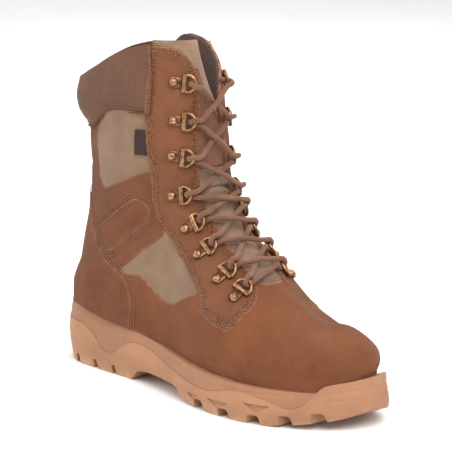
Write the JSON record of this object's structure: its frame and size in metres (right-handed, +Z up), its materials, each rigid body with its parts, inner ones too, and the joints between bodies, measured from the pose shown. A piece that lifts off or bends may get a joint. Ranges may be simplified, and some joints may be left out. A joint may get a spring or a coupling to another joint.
{
  "type": "combat boot",
  "caption": "Right-foot combat boot: suede upper with canvas side panels, padded collar, D-ring lacing over a soft tongue, and a moulded sole with a heel and lugged tread.",
  "frame": {"origin": "on the ground under the middle of the boot's overall box", "axes": "+X from heel to toe, +Y from the lateral side to the medial side, +Z up"},
  "size_m": [0.3022, 0.1104, 0.2675],
  "materials": {
    "outsole_rubber": "matte moulded tan rubber",
    "midsole_rubber": "matte moulded tan rubber",
    "insole_foam": "dark knitted cover on foam",
    "upper_suede": "brown suede with stitched seams",
    "tongue_canvas": "tan woven canvas, padded",
    "eyelet_brass": "antique, brushed",
    "lace_cord": "braided round cord"
  },
  "bodies": {
    "root": {"outsole": "outsole_rubber", "midsole": "midsole_rubber", "insole": "insole_foam", "upper": "upper_suede", "tongue": "tongue_canvas", "ring_lateral_1": "eyelet_brass", "ring_lateral_2": "eyelet_brass", "ring_lateral_3": "eyelet_brass", "ring_lateral_4": "eyelet_brass", "ring_lateral_5": "eyelet_brass", "ring_lateral_6": "eyelet_brass", "ring_lateral_7": "eyelet_brass", "ring_lateral_8": "eyelet_brass", "ring_medial_1": "eyelet_brass", "ring_medial_2": "eyelet_brass", "ring_medial_3": "eyelet_brass", "ring_medial_4": "eyelet_brass", "ring_medial_5": "eyelet_brass", "ring_medial_6": "eyelet_brass", "ring_medial_7": "eyelet_brass", "ring_medial_8": "eyelet_brass", "lace_crossing_1": "lace_cord", "lace_crossing_2": "lace_cord", "lace_crossing_3": "lace_cord", "lace_crossing_4": "lace_cord", "lace_crossing_5": "lace_cord", "lace_crossing_6": "lace_cord", "lace_crossing_7": "lace_cord", "lace_bar": "lace_cord"}
  },
  "joints": []
}
